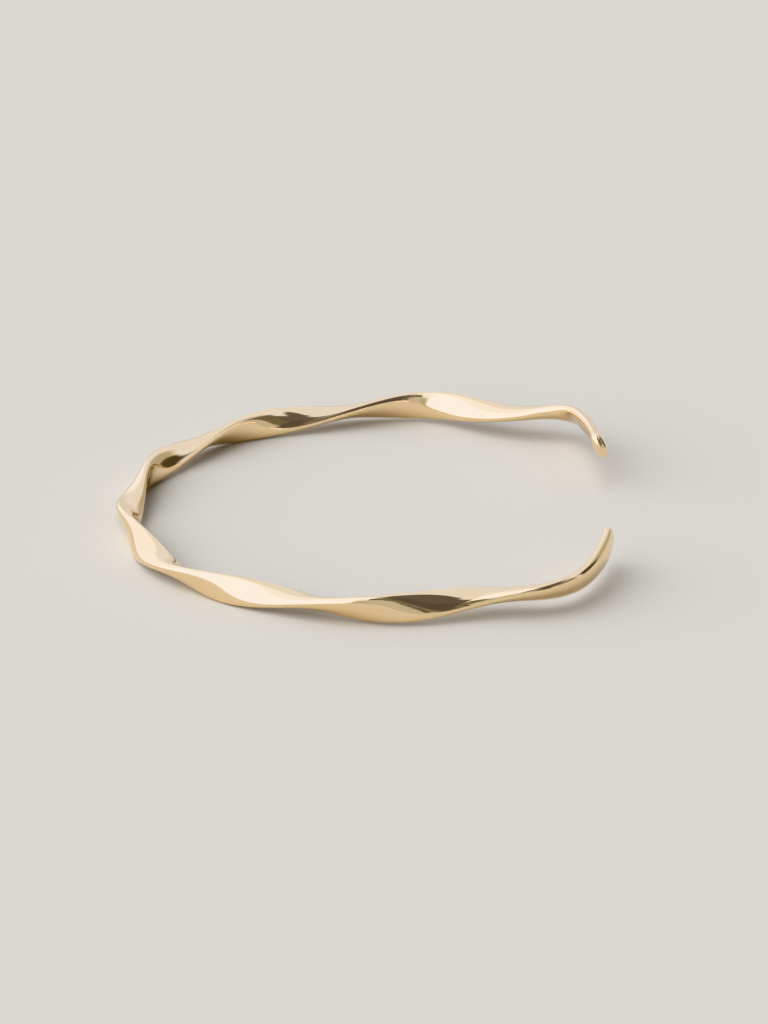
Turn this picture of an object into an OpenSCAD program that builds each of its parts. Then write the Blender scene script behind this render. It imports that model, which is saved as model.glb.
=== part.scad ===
// Twisted torque bangle
// One flat oval bar of gold, twisted along its length and bent into an open hoop
// that rests on its lowest bulges. The gap between the two ends faces +X.

/* [Bar] */
// Length of the bar along its middle, before it is bent
bar_len = 161; // [130:0.5:200]
// Width of the flat oval section
bar_w = 3.2; // [2.4:0.1:5]
// Thickness of the flat oval section
bar_t = 1.6; // [1:0.1:2.2]
// Squareness of the section: 2 is a plain oval, more gives flatter faces
section_power = 2.1; // [2:0.1:4]

/* [Twist] */
// Half turns that the bar makes between its two ends
half_turns = 6.85; // [0:0.05:10]
// Lean of the wide side at the front end, measured from lying flat
start_lean = -90; // [-180:1:180]

/* [Hoop] */
// Direction that the front end sets off in, measured from +X
start_heading = -97; // [-120:1:-80]
// Length over which one bend eases into the next
bend_ease = 5; // [2:0.5:8]
// Rise of the front end above the level of the hoop
front_lift = 1.8; // [0:0.1:5]
// Rise of the back end above the level of the hoop
back_lift = 3.8; // [0:0.1:5]
// Length of bar over which each end rises
lift_run = 50; // [20:1:60]

/* [Ends] */
// Length of the rounded tip at each end
tip_len = 0.9; // [0.4:0.1:2]
// Length over which the bar narrows toward each tip
taper_len = 5; // [2.5:0.5:12]
// Width and thickness lost at the tips by that taper
taper_loss = 0.26; // [0:0.02:0.6]

/* [Mesh] */
// Rings along the bar between its rounded tips
rings = 150; // [60:10:180]
// Points around the section
sides = 24; // [12:2:28]
// Rings in each rounded tip
tip_rings = 5; // [3:1:8]

/* [Hidden] */
// The bends from the front end to the back end: share of the bar, turn to the right
BEND_SHARE = 0;
BEND_TURN = 1;
bends = [
    [0.060, 19],   // front end, nearly straight
    [0.052, 68],   // front corner
    [0.055, -28],  // front flank, hollowed by hand
    [0.085, 51],   // front shoulder
    [0.052, -10],  // front, nearly straight
    [0.055, 34],   // left front
    [0.175, 55],   // left
    [0.165, 54],   // left back
    [0.077, 11],   // back, nearly straight
    [0.046, 46],   // back shoulder
    [0.066, -38],  // back flank, hollowed like the front one
    [0.025, 75],   // back corner
    [0.087, 15]    // back end, nearly straight
];

// How fast the bar twists: share of the bar, share of the full rate
twist_rates = [
    [0, 0], [0.10, 0.59], [0.25, 0.87], [0.50, 1], [0.74, 0.81], [0.88, 0.63], [0.95, 0.03], [1, 0]
];

bend_starts = [
    for (i = 0, at = 0; i < len(bends); at = at + bends[i][BEND_SHARE], i = i + 1) at
];
half_w = bar_w / 2;
half_t = bar_t / 2;

// Zero before a bend, then rising one for one, with a soft start over bend_ease
function soft_ramp(u) = let (e = bend_ease / 2) u < -e ? 0 : u > e ? u : pow(u + e, 2) / (4 * e);

// Part of one bend that is behind the point s millimetres along the bar
function bend_done(i, s) =
    let (from = bend_starts[i] * bar_len, run = bends[i][BEND_SHARE] * bar_len)
    (soft_ramp(s - from) - soft_ramp(s - from - run)) / run;

function add_up(v, i = 0) = i < len(v) ? v[i] + add_up(v, i + 1) : 0;

function heading(s) =
    start_heading - add_up([for (i = [0 : len(bends) - 1]) bends[i][BEND_TURN] * bend_done(i, s)]);

// Height of the middle of the bar above the level stretch, at s along it
function lift(s) =
    front_lift * pow(max(0, 1 - s / lift_run), 2)
    + back_lift * pow(max(0, 1 - (bar_len - s) / lift_run), 2);

// Size of the section at s, as a share that falls to zero over the rounded tips
function near_end(s) = min(s, bar_len - s);
function tip_round(s) = let (u = max(0, 1 - near_end(s) / tip_len)) sqrt(max(0, 1 - u * u));
function tapered(half, s) =
    tip_round(s) * (half - taper_loss / 2 * pow(max(0, 1 - near_end(s) / taper_len), 2));

// Stations along the bar, closer together where a tip rounds off
tip_stations = [for (k = [1 : tip_rings]) tip_len * (1 - cos(90 * k / tip_rings))];
bar_stations = [for (k = [1 : rings]) tip_len + (bar_len - 2 * tip_len) * k / rings];
stations = concat(
    [0], tip_stations, bar_stations,
    [for (k = [tip_rings - 1 : -1 : 1]) bar_len - tip_stations[k - 1]], [bar_len]
);
last = len(stations) - 1;

// Length from the station before, and the point halfway to it
function gap_before(i) = stations[i] - stations[i - 1];
function halfway(i) = (stations[i] + stations[i - 1]) / 2;

// Middle line of the bar in plan, summed up step by step from its heading
function step(i) = let (h = heading(halfway(i))) gap_before(i) * [cos(h), sin(h)];
plan = [for (i = 0, p = [0, 0]; i <= last; i = i + 1, p = i > last ? p : p + step(i)) p];

// Twist summed up in the same steps, scaled to the half turns asked for
function twist_step(i) = gap_before(i) * lookup(halfway(i) / bar_len, twist_rates);
twist_sum = [for (i = 0, a = 0; i <= last; i = i + 1, a = i > last ? a : a + twist_step(i)) a];
function lean(i) = start_lean - 180 * half_turns * twist_sum[i] / twist_sum[last];

middle = [for (i = [0 : last]) [plan[i].x, plan[i].y, lift(stations[i])]];

function unit(v) = v / norm(v);

// Direction of the bar at a station, and the two directions across it
function along(i) = unit(middle[min(i + 1, last)] - middle[max(i - 1, 0)]);
function outward(t) = unit([-t.y, t.x, 0]);
function upward(t) = cross(t, outward(t));

function signed_pow(v, p) = sign(v) * pow(abs(v), p);

// One ring of points round the bar at station i
function ring(i) =
    let (
        t = along(i), o = outward(t), u = upward(t), a = lean(i),
        wide = cos(a) * o + sin(a) * u, thin = cos(a) * u - sin(a) * o,
        b = tapered(half_w, stations[i]), c = tapered(half_t, stations[i])
    )
    [for (k = [0 : sides - 1]) let (q = 360 * k / sides, p = 2 / section_power)
        middle[i] + b * signed_pow(cos(q), p) * wide + c * signed_pow(sin(q), p) * thin];

all_rings = [for (i = [1 : last - 1]) each ring(i)];
raw_points = concat([middle[0]], all_rings, [middle[last]]);
ring_count = last - 1;

// The hoop is set down on its lowest point, with its box centred over the origin
low = [for (d = [0 : 2]) min([for (p = raw_points) p[d]])];
high = [for (d = [0 : 2]) max([for (p = raw_points) p[d]])];
seat = [(low.x + high.x) / 2, (low.y + high.y) / 2, low.z];

function at(i, k) = 1 + i * sides + k % sides;

module twisted_bangle() {
    end_point = len(raw_points) - 1;
    tip_fan = [for (k = [0 : sides - 1]) [0, at(0, k), at(0, k + 1)]];
    skin = [for (i = [0 : ring_count - 2], k = [0 : sides - 1])
        each [[at(i, k), at(i + 1, k + 1), at(i, k + 1)], [at(i, k), at(i + 1, k), at(i + 1, k + 1)]]];
    far_fan = [for (k = [0 : sides - 1])
        [end_point, at(ring_count - 1, k + 1), at(ring_count - 1, k)]];
    color("#d9b274")
        translate(-seat)
            polyhedron(points = raw_points, faces = concat(tip_fan, skin, far_fan), convexity = 6);
}

twisted_bangle();
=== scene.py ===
"""Polished gold torque bangle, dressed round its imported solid.

One flat oval bar is twisted along its length and bent into an open hoop. A Geometry Nodes
tree follows the same rule as the solid, with finer rings, and its result stands for it.
Lengths are metres, and angles in the tables are degrees.
"""

import logging
import math
from dataclasses import dataclass
from enum import Enum
from typing import Callable, Optional, Union

import bmesh
import bpy
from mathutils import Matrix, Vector


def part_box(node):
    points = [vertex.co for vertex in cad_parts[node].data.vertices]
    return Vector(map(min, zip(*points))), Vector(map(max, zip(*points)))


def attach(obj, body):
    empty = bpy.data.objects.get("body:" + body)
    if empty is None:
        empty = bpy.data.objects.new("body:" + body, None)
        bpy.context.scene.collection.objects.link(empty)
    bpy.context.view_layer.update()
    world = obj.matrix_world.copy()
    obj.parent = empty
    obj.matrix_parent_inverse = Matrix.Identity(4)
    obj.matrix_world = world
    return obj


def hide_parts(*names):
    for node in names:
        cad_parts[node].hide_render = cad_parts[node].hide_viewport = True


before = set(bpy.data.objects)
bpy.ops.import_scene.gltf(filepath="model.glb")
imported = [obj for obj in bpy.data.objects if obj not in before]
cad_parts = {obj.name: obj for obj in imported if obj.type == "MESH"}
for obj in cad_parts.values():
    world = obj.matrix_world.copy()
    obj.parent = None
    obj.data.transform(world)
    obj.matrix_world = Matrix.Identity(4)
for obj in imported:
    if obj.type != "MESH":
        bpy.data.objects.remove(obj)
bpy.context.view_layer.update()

PIECE_NAME = "gold_bar"
NODE_NAME = "twisted_bangle"
BODY_NAME = "root"
MM = 0.001

# Sockets of a Mix node that mixes colours
MIX_SHARE = 0
MIX_UNDER = 6
MIX_OVER = 7
MIX_RESULT = 2

logging.basicConfig(level=logging.INFO, format="%(name)s: %(message)s")
log = logging.getLogger("bangle")

Colour = tuple[float, float, float]
Limits = tuple[float, float]
Socket = bpy.types.NodeSocket
Sockets = dict[str, Socket]
Feed = Union[float, int, str, tuple, Socket]
RingRule = Callable[[Feed], Socket]


class Trait(Enum):
    """Names of the attributes that the bar's mesh carries for its finish."""

    ALONG = "bar_along"
    ACROSS = "bar_across"


class SocketKind(Enum):
    """Kinds of named input that a node tree may have. Lengths and angles are plain numbers."""

    NUMBER = "NodeSocketFloat"
    COUNT = "NodeSocketInt"
    SHAPE = "NodeSocketGeometry"
    FINISH = "NodeSocketMaterial"


@dataclass(frozen=True)
class Bend:
    """One stretch of the hoop, as a share of the bar and the turn to the right that it makes."""

    name: str
    share: float
    turn: float


@dataclass(frozen=True)
class TwistRate:
    """How fast the bar twists at one place, as a share of its fastest rate."""

    place: float
    rate: float


@dataclass(frozen=True)
class GroupInput:
    """A named input of a node tree, with the value that it starts from."""

    name: str
    kind: SocketKind
    value: Optional[Union[float, int, bpy.types.Material]] = None


@dataclass(frozen=True)
class Spine:
    """Middle line of the bar in a node tree, with the fields that hold at each of its rings."""

    line: Socket
    wide_arm: Socket
    thin_arm: Socket
    along: Socket


class NodeWriter:
    """Writes the nodes of one tree, so that a formula reads as calls."""

    def __init__(self, tree: bpy.types.NodeTree) -> None:
        """Keeps the tree.

        Args:
            tree: The tree that the nodes go into.
        """
        self.tree = tree

    def add(self, kind: str, **settings: object) -> bpy.types.Node:
        """Adds a node.

        Args:
            kind: Blender's name for the node's type.
            **settings: Properties of the node, such as its operation.

        Returns:
            The new node.
        """
        node = self.tree.nodes.new(kind)
        for name, value in settings.items():
            setattr(node, name, value)
        return node

    def feed(self, socket: Socket, value: Feed) -> None:
        """Links a socket to another one, or sets its value.

        Args:
            socket: The input to feed.
            value: An output socket, or a plain value.
        """
        if isinstance(value, Socket):
            self.tree.links.new(value, socket)
        else:
            socket.default_value = value

    def math(self, operation: str, *values: Feed) -> Socket:
        """Works out a number.

        Args:
            operation: The operation, such as MULTIPLY.
            *values: Its one to three inputs.

        Returns:
            The result's socket.
        """
        node = self.add("ShaderNodeMath", operation=operation)
        for socket, value in zip(node.inputs, values):
            self.feed(socket, value)
        return node.outputs[0]

    def square(self, value: Feed) -> Socket:
        """Multiplies a number by itself."""
        return self.math("MULTIPLY", value, value)

    def limit(self, value: Feed, low: Feed, high: Feed) -> Socket:
        """Keeps a number between two others.

        Args:
            value: The number.
            low: The least that it may be.
            high: The most that it may be.

        Returns:
            The socket of the kept number.
        """
        return self.math("MINIMUM", self.math("MAXIMUM", value, low), high)

    def run_out(self, length: Feed, reach: Feed) -> Socket:
        """Falls from one to zero over a reach, and stays zero past it.

        Args:
            length: How far along the reach the place is.
            reach: Where zero is reached.

        Returns:
            The socket of the share that is left.
        """
        return self.math("MAXIMUM", self.math("SUBTRACT", 1.0, self.math("DIVIDE", length, reach)), 0.0)

    def vector(self, operation: str, *values: Feed) -> Socket:
        """Works out a vector.

        Args:
            operation: The operation, such as CROSS_PRODUCT or SCALE.
            *values: Its inputs. The second one of SCALE is its factor.

        Returns:
            The result's socket.
        """
        node = self.add("ShaderNodeVectorMath", operation=operation)
        sockets = [node.inputs[0], node.inputs["Scale"]] if operation == "SCALE" else node.inputs
        for socket, value in zip(sockets, values):
            self.feed(socket, value)
        return node.outputs[0]

    def combine(self, x: Feed, y: Feed, z: Feed) -> Socket:
        """Puts three numbers together as a vector.

        Args:
            x: The first number.
            y: The second number.
            z: The third number.

        Returns:
            The vector's socket.
        """
        node = self.add("ShaderNodeCombineXYZ")
        for socket, value in zip(node.inputs, (x, y, z)):
            self.feed(socket, value)
        return node.outputs[0]

    def split(self, vector: Feed) -> list[Socket]:
        """Takes a vector apart.

        Args:
            vector: The vector.

        Returns:
            The sockets of its three numbers.
        """
        node = self.add("ShaderNodeSeparateXYZ")
        self.feed(node.inputs[0], vector)
        return list(node.outputs)

    def span(self, value: Feed, low: float, high: float, start: float, end: float) -> Socket:
        """Maps one span onto another and stops at its ends.

        Args:
            value: What is mapped.
            low: Where the first span starts.
            high: Where it ends.
            start: The result at its start.
            end: The result at its end.

        Returns:
            The mapped value's socket.
        """
        node = self.add("ShaderNodeMapRange", clamp=True)
        for socket, number in zip(node.inputs, (value, low, high, start, end)):
            self.feed(socket, number)
        return node.outputs[0]

    def call(self, group: bpy.types.NodeTree, **values: Feed) -> Socket:
        """Uses one of this script's node groups.

        Args:
            group: The group.
            **values: Its inputs, by name, with _ for a space.

        Returns:
            The socket of its first output.
        """
        node = self.add("GeometryNodeGroup", node_tree=group)
        for name, value in values.items():
            self.feed(node.inputs[name.replace("_", " ")], value)
        return node.outputs[0]


def new_group(
        name: str, inputs: list[GroupInput], output: GroupInput) -> tuple[NodeWriter, Sockets, Socket]:
    """Starts a Geometry Nodes tree with named inputs and one output.

    Args:
        name: The tree's name.
        inputs: Its inputs, in order.
        output: Its output.

    Returns:
        A writer for the tree, its inputs' sockets by name, and the socket that takes the result.
    """
    tree = bpy.data.node_groups.new(name, "GeometryNodeTree")
    for one in inputs:
        socket = tree.interface.new_socket(one.name, in_out="INPUT", socket_type=one.kind.value)
        if one.value is not None:
            socket.default_value = one.value
    tree.interface.new_socket(output.name, in_out="OUTPUT", socket_type=output.kind.value)
    writer = NodeWriter(tree)
    start = writer.add("NodeGroupInput")
    end = writer.add("NodeGroupOutput")
    return writer, {one.name: start.outputs[one.name] for one in inputs}, end.inputs[output.name]


def soft_ramp_group() -> bpy.types.NodeTree:
    """Makes the group that rises one for one past zero, with a soft start.

    Returns:
        A group with the inputs Past and Ease.
    """
    ramp, given, result = new_group(
        "soft ramp",
        [GroupInput("Past", SocketKind.NUMBER), GroupInput("Ease", SocketKind.NUMBER)],
        GroupInput("Ramp", SocketKind.NUMBER))
    half = ramp.math("MULTIPLY", given["Ease"], 0.5)
    eased = ramp.limit(ramp.math("ADD", given["Past"], half), 0.0, given["Ease"])
    soft = ramp.math("DIVIDE", ramp.square(eased), ramp.math("MULTIPLY", given["Ease"], 2.0))
    straight = ramp.math("MAXIMUM", ramp.math("SUBTRACT", given["Past"], half), 0.0)
    ramp.feed(result, ramp.math("ADD", soft, straight))
    return ramp.tree


def bend_group(soft_ramp: bpy.types.NodeTree) -> bpy.types.NodeTree:
    """Makes the group for the turn that one bend has made at a place along the bar.

    Args:
        soft_ramp: The group of soft_ramp_group.

    Returns:
        A group with the inputs Along, From, Run, Turn and Ease.
    """
    names = ("Along", "From", "Run", "Turn", "Ease")
    inputs = [GroupInput(name, SocketKind.NUMBER) for name in names]
    bend, given, result = new_group("bend", inputs, GroupInput("Turned", SocketKind.NUMBER))
    past = bend.math("SUBTRACT", given["Along"], given["From"])
    begun = bend.call(soft_ramp, Past=past, Ease=given["Ease"])
    ended = bend.call(soft_ramp, Past=bend.math("SUBTRACT", past, given["Run"]), Ease=given["Ease"])
    share = bend.math("DIVIDE", bend.math("SUBTRACT", begun, ended), given["Run"])
    bend.feed(result, bend.math("MULTIPLY", share, given["Turn"]))
    return bend.tree


def station_group() -> bpy.types.NodeTree:
    """Makes the group that places a ring along the bar, with closer rings in the rounded tips.

    Returns:
        A group with the inputs Ring, Bar Length, Tip Length, Rings and Tip Rings.
    """
    names = ("Ring", "Bar Length", "Tip Length", "Rings", "Tip Rings")
    inputs = [GroupInput(name, SocketKind.NUMBER) for name in names]
    place, given, result = new_group("station", inputs, GroupInput("Along", SocketKind.NUMBER))

    def part_of_tip(rings_in: Feed) -> Socket:
        """Length of a rounded tip that lies before a ring.

        Args:
            rings_in: How many rings the ring is into the tip.

        Returns:
            The socket of that length.
        """
        share = place.limit(place.math("DIVIDE", rings_in, given["Tip Rings"]), 0.0, 1.0)
        bow = place.math("COSINE", place.math("MULTIPLY", share, math.pi / 2))
        return place.math("MULTIPLY", given["Tip Length"], place.math("SUBTRACT", 1.0, bow))

    last = place.math("ADD", given["Rings"], place.math("MULTIPLY", given["Tip Rings"], 2.0))
    straight = place.math("SUBTRACT", given["Bar Length"], place.math("MULTIPLY", given["Tip Length"], 2.0))
    past_tip = place.math("SUBTRACT", given["Ring"], given["Tip Rings"])
    level = place.limit(place.math("DIVIDE", past_tip, given["Rings"]), 0.0, 1.0)
    front = part_of_tip(given["Ring"])
    rings_left = place.math("SUBTRACT", last, given["Ring"])
    back = place.math("SUBTRACT", given["Tip Length"], part_of_tip(rings_left))
    body = place.math("MULTIPLY", level, straight)
    place.feed(result, place.math("ADD", place.math("ADD", front, body), back))
    return place.tree


@dataclass(frozen=True)
class PolishedGold:
    """The finish of the bar: hand-polished pale yellow gold with faint hairlines and soft ripples.

    The cells of a pattern are how many it has in a metre. Tones and levels are the values of a
    pattern between which the colour or the roughness changes.
    """

    name: str = "polished_gold"
    colour: Colour = (0.97, 0.745, 0.45)
    handled_colour: Colour = (0.98, 0.77, 0.50)
    handled_share: float = 0.55
    handled_tones: Limits = (0.3, 0.7)
    index_of_refraction: float = 1.5
    roughness: float = 0.055
    handled_roughness: float = 0.119
    handled_levels: Limits = (0.35, 0.75)
    hairline_roughness: float = 0.051
    hairline_levels: Limits = (0.62, 0.8)
    handling_cells: float = 260.0
    handling_octaves: float = 3.0
    hairline_cells: float = 9000.0
    hairline_octaves: float = 2.0
    hairline_squeeze: float = 0.035
    hairline_depth: float = 0.0016 * MM
    hairline_strength: float = 0.5
    ripple_cells: float = 330.0
    ripple_octaves: float = 1.0
    ripple_depth: float = 0.004 * MM
    ripple_strength: float = 0.6

    def material(self) -> bpy.types.Material:
        """Makes the node material.

        Returns:
            The finished material.
        """
        gold = bpy.data.materials.new(self.name)
        gold.use_nodes = True
        gold.node_tree.nodes.clear()
        nodes = NodeWriter(gold.node_tree)
        shader = nodes.add("ShaderNodeBsdfPrincipled")
        shader.inputs["Metallic"].default_value = 1.0
        shader.inputs["IOR"].default_value = self.index_of_refraction
        place = nodes.add("ShaderNodeTexCoord").outputs["Object"]
        hairlines = self._hairlines(nodes)
        handling = self._noise(nodes, place, self.handling_cells, self.handling_octaves)
        ripple = self._noise(nodes, place, self.ripple_cells, self.ripple_octaves)
        nodes.feed(shader.inputs["Base Color"], self._tone(nodes, handling))
        rough = nodes.span(handling, *self.handled_levels, self.roughness, self.handled_roughness)
        rougher = nodes.span(hairlines, *self.hairline_levels, 0.0, self.hairline_roughness)
        nodes.feed(shader.inputs["Roughness"], nodes.math("ADD", rough, rougher))
        nodes.feed(shader.inputs["Normal"], self._bumps(nodes, hairlines, ripple))
        output = nodes.add("ShaderNodeOutputMaterial")
        nodes.feed(output.inputs["Surface"], shader.outputs[0])
        return gold

    def _noise(self, nodes: NodeWriter, place: Feed, cells: float, octaves: float) -> Socket:
        """Adds a noise texture.

        Args:
            nodes: The material's writer.
            place: The coordinates that it reads.
            cells: How many cells it has in a metre.
            octaves: How many finer layers it has.

        Returns:
            The socket of its value.
        """
        noise = nodes.add("ShaderNodeTexNoise")
        nodes.feed(noise.inputs["Vector"], place)
        noise.inputs["Scale"].default_value = cells
        noise.inputs["Detail"].default_value = octaves
        return noise.outputs[0]

    def _tone(self, nodes: NodeWriter, handling: Feed) -> Socket:
        """Adds the gold's colour, a little paler where it has been handled.

        Args:
            nodes: The material's writer.
            handling: The value of the handling marks.

        Returns:
            The socket of the colour.
        """
        tone = nodes.add("ShaderNodeMix", data_type="RGBA")
        share = nodes.span(handling, *self.handled_tones, 0.0, self.handled_share)
        nodes.feed(tone.inputs[MIX_SHARE], share)
        tone.inputs[MIX_UNDER].default_value = (*self.colour, 1.0)
        tone.inputs[MIX_OVER].default_value = (*self.handled_colour, 1.0)
        return tone.outputs[MIX_RESULT]

    def _hairlines(self, nodes: NodeWriter) -> Socket:
        """Adds the fine lines that polishing leaves along the bar.

        Args:
            nodes: The material's writer.

        Returns:
            The socket of their value.
        """
        along = nodes.add("ShaderNodeAttribute", attribute_name=Trait.ALONG.value).outputs["Fac"]
        across = nodes.add("ShaderNodeAttribute", attribute_name=Trait.ACROSS.value).outputs["Fac"]
        squeezed = nodes.math("MULTIPLY", along, self.hairline_squeeze)
        place = nodes.combine(squeezed, across, 0.0)
        return self._noise(nodes, place, self.hairline_cells, self.hairline_octaves)

    def _bumps(self, nodes: NodeWriter, hairlines: Feed, ripple: Feed) -> Socket:
        """Adds the relief of the hairlines on top of the ripples.

        Args:
            nodes: The material's writer.
            hairlines: The value of the hairlines.
            ripple: The value of the ripples.

        Returns:
            The socket of the bent normal.
        """
        wide = nodes.add("ShaderNodeBump")
        wide.inputs["Strength"].default_value = self.ripple_strength
        wide.inputs["Distance"].default_value = self.ripple_depth
        nodes.feed(wide.inputs["Height"], ripple)
        fine = nodes.add("ShaderNodeBump")
        fine.inputs["Strength"].default_value = self.hairline_strength
        fine.inputs["Distance"].default_value = self.hairline_depth
        nodes.feed(fine.inputs["Height"], hairlines)
        nodes.feed(fine.inputs["Normal"], wide.outputs[0])
        return fine.outputs[0]


@dataclass
class TwistedBar:
    """The bangle itself: a flat oval bar, twisted and bent into an open hoop."""

    length: float = 161.0 * MM
    width: float = 3.2 * MM
    thickness: float = 1.6 * MM
    section_power: float = 2.1
    half_turns: float = 6.85
    start_lean: float = -90.0
    start_heading: float = -97.0
    bend_ease: float = 5.0 * MM
    front_lift: float = 1.8 * MM
    back_lift: float = 3.8 * MM
    lift_run: float = 50.0 * MM
    tip_length: float = 0.9 * MM
    taper_length: float = 5.0 * MM
    taper_loss: float = 0.26 * MM
    rings: int = 600
    sides: int = 64
    tip_rings: int = 14
    box_tolerance: float = 0.1 * MM
    bends: tuple[Bend, ...] = (
        Bend("front end", 0.060, 19), Bend("front corner", 0.052, 68), Bend("front flank", 0.055, -28),
        Bend("front shoulder", 0.085, 51), Bend("front", 0.052, -10), Bend("left front", 0.055, 34),
        Bend("left", 0.175, 55), Bend("left back", 0.165, 54), Bend("back", 0.077, 11),
        Bend("back shoulder", 0.046, 46), Bend("back flank", 0.066, -38), Bend("back corner", 0.025, 75),
        Bend("back end", 0.087, 15))
    rates: tuple[TwistRate, ...] = (
        TwistRate(0.0, 0.0), TwistRate(0.10, 0.59), TwistRate(0.25, 0.87), TwistRate(0.50, 1.0),
        TwistRate(0.74, 0.81), TwistRate(0.88, 0.63), TwistRate(0.95, 0.03), TwistRate(1.0, 0.0))

    def inputs(self, gold: bpy.types.Material) -> list[GroupInput]:
        """Lists the named inputs of the bar's tree.

        Args:
            gold: The bar's finish.

        Returns:
            The inputs with this bar's sizes.
        """
        lengths = {
            "Bar Length": self.length, "Half Width": self.width / 2, "Half Thickness": self.thickness / 2,
            "Bend Ease": self.bend_ease, "Front Lift": self.front_lift, "Back Lift": self.back_lift,
            "Lift Run": self.lift_run, "Tip Length": self.tip_length, "Taper Length": self.taper_length,
            "Taper Loss": self.taper_loss}
        numbers = {
            "Section Power": self.section_power, "Half Turns": self.half_turns,
            "Start Lean": math.radians(self.start_lean), "Start Heading": math.radians(self.start_heading)}
        counts = {"Rings": self.rings, "Sides": self.sides, "Tip Rings": self.tip_rings}
        return ([GroupInput("Geometry", SocketKind.SHAPE)]
                + [GroupInput(name, SocketKind.NUMBER, value) for name, value in lengths.items()]
                + [GroupInput(name, SocketKind.NUMBER, value) for name, value in numbers.items()]
                + [GroupInput(name, SocketKind.COUNT, value) for name, value in counts.items()]
                + [GroupInput("Finish", SocketKind.FINISH, gold)])

    def heading(self, nodes: NodeWriter, given: Sockets, along: Feed) -> Socket:
        """Adds the bar's direction in plan at a place along it.

        Args:
            nodes: The tree's writer.
            given: The tree's inputs.
            along: The length of bar before that place.

        Returns:
            The socket of the heading, in radians.
        """
        bend = bend_group(soft_ramp_group())
        heading = given["Start Heading"]
        behind = 0.0
        for one in self.bends:
            turned = nodes.call(
                bend, Along=along, From=nodes.math("MULTIPLY", given["Bar Length"], behind),
                Run=nodes.math("MULTIPLY", given["Bar Length"], one.share),
                Turn=math.radians(one.turn), Ease=given["Bend Ease"])
            heading = nodes.math("SUBTRACT", heading, turned)
            behind += one.share
        return heading

    def twist_rate(self, nodes: NodeWriter, place: Feed) -> Socket:
        """Adds the share of the full twist rate at a place.

        Args:
            nodes: The tree's writer.
            place: The share of the bar before that place.

        Returns:
            The socket of the rate.
        """
        rate = nodes.math("ADD", self.rates[0].rate, 0.0)
        for before, after in zip(self.rates, self.rates[1:]):
            rise = nodes.span(place, before.place, after.place, 0.0, after.rate - before.rate)
            rate = nodes.math("ADD", rate, rise)
        return rate

    def lift(self, nodes: NodeWriter, given: Sockets, along: Feed) -> Socket:
        """Adds the height of the bar's middle above the level stretch of the hoop.

        Args:
            nodes: The tree's writer.
            given: The tree's inputs.
            along: The length of bar before the place.

        Returns:
            The socket of the height.
        """
        to_back_end = nodes.math("SUBTRACT", given["Bar Length"], along)
        heights = []
        for rise, from_end in ((given["Front Lift"], along), (given["Back Lift"], to_back_end)):
            share = nodes.square(nodes.run_out(from_end, given["Lift Run"]))
            heights.append(nodes.math("MULTIPLY", rise, share))
        return nodes.math("ADD", *heights)

    def half_sizes(self, nodes: NodeWriter, given: Sockets, along: Feed) -> list[Socket]:
        """Adds half the width and half the thickness of the section at a place.

        Args:
            nodes: The tree's writer.
            given: The tree's inputs.
            along: The length of bar before the place.

        Returns:
            The sockets of the two half sizes.
        """
        near_end = nodes.math("MINIMUM", along, nodes.math("SUBTRACT", given["Bar Length"], along))
        into_tip = nodes.square(nodes.run_out(near_end, given["Tip Length"]))
        round_off = nodes.math("SQRT", nodes.math("MAXIMUM", nodes.math("SUBTRACT", 1.0, into_tip), 0.0))
        into_taper = nodes.square(nodes.run_out(near_end, given["Taper Length"]))
        half_loss = nodes.math("MULTIPLY", given["Taper Loss"], 0.5)
        loss = nodes.math("MULTIPLY", half_loss, into_taper)
        return [nodes.math("MULTIPLY", round_off, nodes.math("SUBTRACT", given[name], loss))
                for name in ("Half Width", "Half Thickness")]

    def build_tree(self, gold: bpy.types.Material) -> bpy.types.NodeTree:
        """Writes the tree that makes the bar.

        Args:
            gold: The bar's finish.

        Returns:
            The Geometry Nodes tree.
        """
        shape = GroupInput("Geometry", SocketKind.SHAPE)
        nodes, given, result = new_group("twisted bar", self.inputs(gold), shape)
        station = station_group()
        last = nodes.math("ADD", given["Rings"], nodes.math("MULTIPLY", given["Tip Rings"], 2.0))

        def along_at(ring: Feed) -> Socket:
            """Length of bar before a ring.

            Args:
                ring: The ring's number.

            Returns:
                The socket of that length.
            """
            return nodes.call(
                station, Ring=ring, Bar_Length=given["Bar Length"], Tip_Length=given["Tip Length"],
                Rings=given["Rings"], Tip_Rings=given["Tip Rings"])

        spine = self._spine(nodes, given, last, along_at)
        skin = self._skin(nodes, given, last, spine)
        smooth = nodes.add("GeometryNodeSetShadeSmooth")
        nodes.feed(smooth.inputs["Geometry"], skin)
        real = nodes.add("GeometryNodeRealizeInstances")
        nodes.feed(real.inputs[0], smooth.outputs[0])
        finish = nodes.add("GeometryNodeSetMaterial")
        nodes.feed(finish.inputs["Geometry"], real.outputs[0])
        nodes.feed(finish.inputs["Material"], given["Finish"])
        nodes.feed(result, finish.outputs[0])
        return nodes.tree

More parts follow.
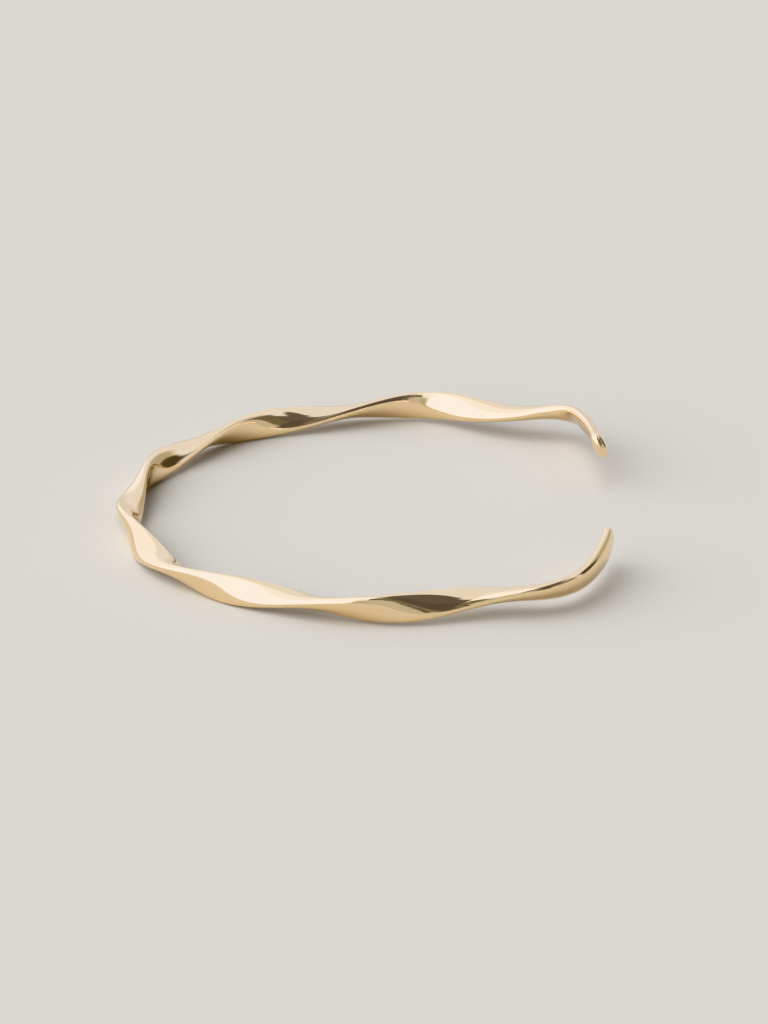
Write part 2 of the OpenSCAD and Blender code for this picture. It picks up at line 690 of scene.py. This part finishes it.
    def _spine(self, nodes: NodeWriter, given: Sockets, last: Feed, along_at: RingRule) -> Spine:
        """Adds the middle line of the bar, with the two arms of its section at each ring.

        Args:
            nodes: The tree's writer.
            given: The tree's inputs.
            last: The last ring's number.
            along_at: Function from a ring's number to the length of bar before it.

        Returns:
            The middle line and what is known at each of its rings.
        """
        line = nodes.add("GeometryNodeMeshLine")
        nodes.feed(line.inputs["Count"], nodes.math("ADD", last, 1.0))
        ring = nodes.add("GeometryNodeInputIndex").outputs[0]
        along = along_at(ring)
        before = along_at(nodes.math("MAXIMUM", nodes.math("SUBTRACT", ring, 1.0), 0.0))
        gap = nodes.math("SUBTRACT", along, before)
        halfway = nodes.math("MULTIPLY", nodes.math("ADD", along, before), 0.5)
        heading = self.heading(nodes, given, halfway)
        direction = nodes.combine(nodes.math("COSINE", heading), nodes.math("SINE", heading), 0.0)
        plan = nodes.add("GeometryNodeAccumulateField", data_type="FLOAT_VECTOR")
        nodes.feed(plan.inputs[0], nodes.vector("SCALE", direction, gap))
        rise = nodes.combine(0.0, 0.0, self.lift(nodes, given, along))
        middle = nodes.vector("ADD", plan.outputs[0], rise)
        moved = nodes.add("GeometryNodeSetPosition")
        nodes.feed(moved.inputs["Geometry"], line.outputs[0])
        nodes.feed(moved.inputs["Position"], middle)

        rate = self.twist_rate(nodes, nodes.math("DIVIDE", halfway, given["Bar Length"]))
        twist = nodes.add("GeometryNodeAccumulateField", data_type="FLOAT")
        nodes.feed(twist.inputs[0], nodes.math("MULTIPLY", gap, rate))
        share = nodes.math("DIVIDE", twist.outputs[0], twist.outputs[2])
        turned = nodes.math("MULTIPLY", nodes.math("MULTIPLY", given["Half Turns"], math.pi), share)
        lean = nodes.math("SUBTRACT", given["Start Lean"], turned)

        def place_of(offset: float) -> Socket:
            """Place of a ring's neighbour.

            Args:
                offset: One for the ring after, minus one for the ring before.

            Returns:
                The socket of its position.
            """
            other = nodes.limit(nodes.math("ADD", ring, offset), 0.0, last)
            picked = nodes.add("GeometryNodeFieldAtIndex", data_type="FLOAT_VECTOR")
            nodes.feed(picked.inputs["Index"], other)
            nodes.feed(picked.inputs["Value"], nodes.add("GeometryNodeInputPosition").outputs[0])
            return picked.outputs[0]

        forward = nodes.vector("NORMALIZE", nodes.vector("SUBTRACT", place_of(1.0), place_of(-1.0)))
        x, y, _ = nodes.split(forward)
        outward = nodes.vector("NORMALIZE", nodes.combine(nodes.math("MULTIPLY", y, -1.0), x, 0.0))
        upward = nodes.vector("CROSS_PRODUCT", forward, outward)
        cosine, sine = nodes.math("COSINE", lean), nodes.math("SINE", lean)
        wide = nodes.vector(
            "ADD", nodes.vector("SCALE", outward, cosine), nodes.vector("SCALE", upward, sine))
        thin = nodes.vector(
            "SUBTRACT", nodes.vector("SCALE", upward, cosine), nodes.vector("SCALE", outward, sine))
        half_w, half_t = self.half_sizes(nodes, given, along)
        return Spine(
            line=moved.outputs[0], wide_arm=nodes.vector("SCALE", wide, half_w),
            thin_arm=nodes.vector("SCALE", thin, half_t), along=along)

    def _skin(self, nodes: NodeWriter, given: Sockets, last: Feed, spine: Spine) -> Socket:
        """Wraps a tube round the middle line, one ring of points a station and a pole at each tip.

        Args:
            nodes: The tree's writer.
            given: The tree's inputs.
            last: The last ring's number.
            spine: The middle line.

        Returns:
            The socket of the closed skin.
        """
        pipe = nodes.add("GeometryNodeMeshCylinder", fill_type="TRIANGLE_FAN")
        height = nodes.math("SUBTRACT", last, 2.0)
        nodes.feed(pipe.inputs["Vertices"], given["Sides"])
        nodes.feed(pipe.inputs["Side Segments"], height)
        nodes.feed(pipe.inputs["Radius"], 1.0)
        nodes.feed(pipe.inputs["Depth"], height)
        x, y, z = nodes.split(nodes.add("GeometryNodeInputPosition").outputs[0])
        # Only the pipe's two poles lie on its axis, and its radius is one
        from_axis = nodes.math("ADD", nodes.square(x), nodes.square(y))
        on_rim = nodes.math("GREATER_THAN", from_axis, 0.25)
        above_foot = nodes.math("ADD", z, nodes.math("MULTIPLY", height, 0.5))
        rim_ring = nodes.math("ROUND", nodes.math("ADD", above_foot, 1.0))
        pole_ring = nodes.math("MULTIPLY", last, nodes.math("GREATER_THAN", z, 0.0))
        at_pole = nodes.math("SUBTRACT", 1.0, on_rim)
        ring = nodes.math(
            "ADD", nodes.math("MULTIPLY", on_rim, rim_ring), nodes.math("MULTIPLY", at_pole, pole_ring))
        angle = nodes.math("ARCTAN2", y, x)

        def at_ring(value: Feed, data_type: str) -> Socket:
            """Reads a value of the middle line at this point's ring.

            Args:
                value: The field to read.
                data_type: Its type.

            Returns:
                The socket of the value there.
            """
            picked = nodes.add("GeometryNodeSampleIndex", data_type=data_type, clamp=True)
            nodes.feed(picked.inputs["Geometry"], spine.line)
            nodes.feed(picked.inputs["Value"], value)
            nodes.feed(picked.inputs["Index"], ring)
            return picked.outputs[0]

        def signed_power(value: Feed) -> Socket:
            """Raises a sine or cosine to the section's power and keeps its sign.

            Args:
                value: The sine or cosine.

            Returns:
                The socket of the result.
            """
            power = nodes.math("DIVIDE", 2.0, given["Section Power"])
            size = nodes.math("POWER", nodes.math("ABSOLUTE", value), power)
            return nodes.math("MULTIPLY", nodes.math("SIGN", value), size)

        middle = at_ring(nodes.add("GeometryNodeInputPosition").outputs[0], "FLOAT_VECTOR")
        wide = at_ring(spine.wide_arm, "FLOAT_VECTOR")
        thin = at_ring(spine.thin_arm, "FLOAT_VECTOR")
        across = signed_power(nodes.math("COSINE", angle))
        over = signed_power(nodes.math("SINE", angle))
        offset = nodes.vector("ADD", nodes.vector("SCALE", wide, across), nodes.vector("SCALE", thin, over))
        traits = {
            Trait.ALONG: at_ring(spine.along, "FLOAT"),
            Trait.ACROSS: nodes.math("MULTIPLY", across, given["Half Width"])}
        shape = pipe.outputs[0]
        for trait, value in traits.items():
            kept = nodes.add("GeometryNodeStoreNamedAttribute", data_type="FLOAT", domain="POINT")
            nodes.feed(kept.inputs["Geometry"], shape)
            nodes.feed(kept.inputs["Name"], trait.value)
            nodes.feed(kept.inputs["Value"], value)
            shape = kept.outputs[0]
        placed = nodes.add("GeometryNodeSetPosition")
        nodes.feed(placed.inputs["Geometry"], shape)
        nodes.feed(placed.inputs["Position"], nodes.vector("ADD", middle, offset))
        return placed.outputs[0]

    def build(self, gold: bpy.types.Material) -> bpy.types.Object:
        """Makes the bar as a plain mesh, seated in its solid's box.

        Args:
            gold: The bar's finish.

        Returns:
            The bar's object, at the origin and unturned.
        """
        carrier = bpy.data.objects.new("carrier", bpy.data.meshes.new("carrier"))
        bpy.context.scene.collection.objects.link(carrier)
        modifier = carrier.modifiers.new("twisted bar", "NODES")
        modifier.node_group = self.build_tree(gold)
        values = {one.name: one.value for one in self.inputs(gold)}
        for socket in modifier.node_group.interface.items_tree:
            if socket.in_out == "INPUT" and values.get(socket.name) is not None:
                modifier[socket.identifier] = values[socket.name]
        evaluated = carrier.evaluated_get(bpy.context.evaluated_depsgraph_get())
        mesh = bpy.data.meshes.new_from_object(evaluated)
        carrier.modifiers.remove(modifier)
        bpy.data.objects.remove(carrier)
        self._seat(mesh)
        mesh.name = PIECE_NAME
        bar = bpy.data.objects.new(PIECE_NAME, mesh)
        bpy.context.scene.collection.objects.link(bar)
        return bar

    def _seat(self, mesh: bpy.types.Mesh) -> None:
        """Moves the mesh into the box of the solid that it stands for, and turns its faces outward.

        Args:
            mesh: The bar's mesh.

        Raises:
            ValueError: If the mesh isn't the size of the solid.
        """
        low, high = (Vector(corner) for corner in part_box(NODE_NAME))
        mine_low = Vector(min(point.co[axis] for point in mesh.vertices) for axis in range(3))
        mine_high = Vector(max(point.co[axis] for point in mesh.vertices) for axis in range(3))
        off = max(abs(a - b) for a, b in zip(high - low, mine_high - mine_low))
        log.info("%s: box differs from its solid by %.3f mm", PIECE_NAME, off / MM)
        if off > self.box_tolerance:
            raise ValueError(f"the bar's box is {off / MM:.2f} mm off its solid's")
        shift = (low + high - mine_low - mine_high) / 2
        shift.z = low.z - mine_low.z
        work = bmesh.new()
        work.from_mesh(mesh)
        bmesh.ops.translate(work, vec=shift, verts=work.verts)
        if work.calc_volume(signed=True) < 0:
            bmesh.ops.reverse_faces(work, faces=work.faces)
        log.info("%s: %.1f cubic mm", PIECE_NAME, work.calc_volume(signed=True) / MM ** 3)
        work.to_mesh(mesh)
        work.free()

    def dress(self, bar: bpy.types.Object) -> None:
        """Hangs the bar on its body and hides the solid that it stands for.

        Args:
            bar: The bar's object.
        """
        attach(bar, BODY_NAME)
        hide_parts(NODE_NAME)


@dataclass(frozen=True)
class RoomPanel:
    """A soft-edged part of the room, as the gold mirrors it.

    Azimuth 0 lies straight behind the bangle and 90 to its right. Both angles are degrees.
    The lean is how far the panel's azimuths shift with each degree of elevation.
    """

    name: str
    azimuths: Limits
    elevations: Limits
    softness: float
    colour: Colour
    brightness: float
    lean: float = 0.0


@dataclass
class Studio:
    """Plain pale floor and the soft light of a room round it."""

    floor_colour: Colour = (0.457, 0.419, 0.332)
    floor_roughness: float = 0.9
    floor_specular: float = 0.1
    floor_size: float = 3.0
    room_colour: Colour = (0.60, 0.60, 0.60)
    window_colour: Colour = (1.0, 1.06, 1.28)
    wall_colour: Colour = (1.0, 1.06, 1.25)
    shade_colour: Colour = (0.98, 0.94, 1.07)
    olive_colour: Colour = (1.0, 0.99, 0.87)
    plain_colour: Colour = (1.0, 1.0, 1.02)

    def build(self) -> None:
        """Makes the floor and the light."""
        self._floor()
        self._sky()

    def panels(self) -> tuple[RoomPanel, ...]:
        """Lists the parts of the room, from the widest to the ones that cover others.

        Returns:
            The panels in the order in which they are laid over each other.
        """
        window, wall, plain = self.window_colour, self.wall_colour, self.plain_colour
        shade, olive = self.shade_colour, self.olive_colour
        everywhere = (-220.0, 220.0)
        return (
            RoomPanel("pale upper walls", everywhere, (36.0, 120.0), 22.0, wall, 0.92),
            RoomPanel("wall behind", (-26.0, 36.0), (-20.0, 120.0), 20.0, wall, 0.88),
            RoomPanel("low wall behind", (-20.0, 28.0), (-30.0, 12.0), 12.0, plain, 0.76),
            RoomPanel("window", (-164.0, -44.0), (3.0, 120.0), 10.0, window, 4.0),
            RoomPanel("wall beside the window", (-62.0, -15.0), (-2.0, 120.0), 12.0, window, 1.7),
            RoomPanel("light over the camera", (-200.0, -145.0), (52.0, 120.0), 20.0, window, 1.6),
            RoomPanel("bright doorway", (166.0, 200.0), (60.0, 120.0), 8.0, wall, 1.7),
            RoomPanel("window bar", (-135.0, -133.0), (18.0, 42.0), 1.5, olive, 0.75, 0.78),
            RoomPanel("dim wall by the camera", (-204.0, -160.0), (-30.0, 36.0), 14.0, olive, 0.54, -0.4),
            RoomPanel("dark spot by the camera", (163.0, 191.0), (38.0, 70.0), 6.0, olive, 0.20),
            RoomPanel("dim shelf behind", (28.0, 60.0), (-20.0, 36.0), 14.0, olive, 0.50),
            RoomPanel("pale door", (83.0, 94.0), (-4.0, 50.0), 6.0, wall, 0.80),
            RoomPanel("dark beam", (50.0, 160.0), (61.0, 81.0), 5.0, shade, 0.17),
            RoomPanel("dark front wall", (93.0, 156.0), (20.0, 48.0), 5.0, olive, 0.20),
            RoomPanel("dark front wall, high", (104.0, 157.0), (45.0, 76.0), 5.0, shade, 0.17),
            RoomPanel("dark corner", (140.0, 156.5), (7.0, 60.0), 3.0, shade, 0.14),
            RoomPanel("door frame", (156.0, 161.5), (13.0, 36.0), 1.5, olive, 0.27),
            RoomPanel("door frame, high", (156.0, 166.5), (33.0, 60.0), 3.0, olive, 0.22),
            RoomPanel("door edge", (158.8, 161.2), (10.0, 30.0), 1.2, shade, 0.09),
            RoomPanel("dark cupboard", (53.0, 84.0), (2.0, 42.0), 9.0, olive, 0.10),
        )

    def _floor(self) -> None:
        """Makes the floor."""
        half = self.floor_size / 2
        corners = [(-half, -half, 0), (half, -half, 0), (half, half, 0), (-half, half, 0)]
        mesh = bpy.data.meshes.new("floor")
        mesh.from_pydata(corners, [], [(0, 1, 2, 3)])
        floor = bpy.data.objects.new("floor", mesh)
        bpy.context.scene.collection.objects.link(floor)
        paint = bpy.data.materials.new("pale_floor")
        paint.use_nodes = True
        shader = paint.node_tree.nodes["Principled BSDF"]
        shader.inputs["Base Color"].default_value = (*self.floor_colour, 1.0)
        shader.inputs["Roughness"].default_value = self.floor_roughness
        shader.inputs["Specular IOR Level"].default_value = self.floor_specular
        mesh.materials.append(paint)

    def _sky(self) -> None:
        """Makes the room's light: bright towards the window on the left, with dark panels on the right."""
        world = bpy.data.worlds.new("room")
        bpy.context.scene.world = world
        world.use_nodes = True
        world.node_tree.nodes.clear()
        nodes = NodeWriter(world.node_tree)
        direction = nodes.vector("NORMALIZE", nodes.add("ShaderNodeTexCoord").outputs["Generated"])
        x, y, z = nodes.split(direction)
        azimuth = nodes.math("DEGREES", nodes.math("ARCTAN2", x, y))
        elevation = nodes.math("DEGREES", nodes.math("ARCSINE", z))
        colour: Feed = (*self.room_colour, 1.0)
        for panel in self.panels():
            mix = nodes.add("ShaderNodeMix", data_type="RGBA")
            shift = nodes.math("MULTIPLY", elevation, panel.lean)
            leaned = nodes.math("SUBTRACT", azimuth, shift)
            across = self._between(nodes, leaned, panel.azimuths, panel.softness)
            upward = self._between(nodes, elevation, panel.elevations, panel.softness)
            nodes.feed(mix.inputs[MIX_SHARE], nodes.math("MULTIPLY", across, upward))
            nodes.feed(mix.inputs[MIX_UNDER], colour)
            mix.inputs[MIX_OVER].default_value = (*(part * panel.brightness for part in panel.colour), 1.0)
            colour = mix.outputs[MIX_RESULT]
        background = nodes.add("ShaderNodeBackground")
        nodes.feed(background.inputs["Color"], colour)
        background.inputs["Strength"].default_value = 1.0
        output = nodes.add("ShaderNodeOutputWorld")
        nodes.feed(output.inputs["Surface"], background.outputs[0])

    def _between(self, nodes: NodeWriter, angle: Feed, limits: Limits, softness: float) -> Socket:
        """Adds how far an angle lies between two limits.

        Args:
            nodes: The world's writer.
            angle: The angle that is looked at.
            limits: The two limits.
            softness: The width of the soft step at each limit.

        Returns:
            The socket of a number, one between the limits and zero outside them.
        """
        steps = []
        for limit, outside, inside in ((limits[0], 0.0, 1.0), (limits[1], 1.0, 0.0)):
            step = nodes.add("ShaderNodeMapRange", interpolation_type="SMOOTHSTEP")
            reach = (limit - softness / 2, limit + softness / 2)
            for socket, value in zip(step.inputs, (angle, *reach, outside, inside)):
                nodes.feed(socket, value)
            steps.append(step.outputs[0])
        return nodes.math("MULTIPLY", *steps)


@dataclass
class PhotoCamera:
    """The camera, at the photo's height and distance over the bangle."""

    elevation: float = 23.0
    distance: float = 671.0 * MM
    pixels_per_metre: float = 8900.0
    image_height: int = 1024
    sensor_width: float = 36.0
    nearest: float = 10.0 * MM
    farthest: float = 20.0
    aim: tuple[float, float, float] = (2.35 * MM, 1.85 * MM, 0.0)

    def build(self) -> None:
        """Makes the camera and gives it to the scene."""
        data = bpy.data.cameras.new("photo_camera")
        data.sensor_fit = "AUTO"
        data.sensor_width = self.sensor_width
        data.lens = data.sensor_width * self.pixels_per_metre * self.distance / self.image_height
        data.clip_start = self.nearest
        data.clip_end = self.farthest
        camera = bpy.data.objects.new("photo_camera", data)
        tilt = math.radians(self.elevation)
        away = Vector((0.0, -math.cos(tilt), math.sin(tilt)))
        camera.location = Vector(self.aim) + away * self.distance
        camera.rotation_mode = "QUATERNION"
        camera.rotation_quaternion = (-away).to_track_quat("-Z", "Y")
        bpy.context.scene.collection.objects.link(camera)
        bpy.context.scene.camera = camera


def main() -> None:
    """Builds the camera, the studio and the bangle."""
    PhotoCamera().build()
    Studio().build()
    bar = TwistedBar()
    piece = bar.build(PolishedGold().material())
    bar.dress(piece)
    log.info("%s: %d faces", piece.name, len(piece.data.polygons))
    bpy.context.scene.view_settings.view_transform = "Khronos PBR Neutral"


if __name__ == "__main__":
    main()
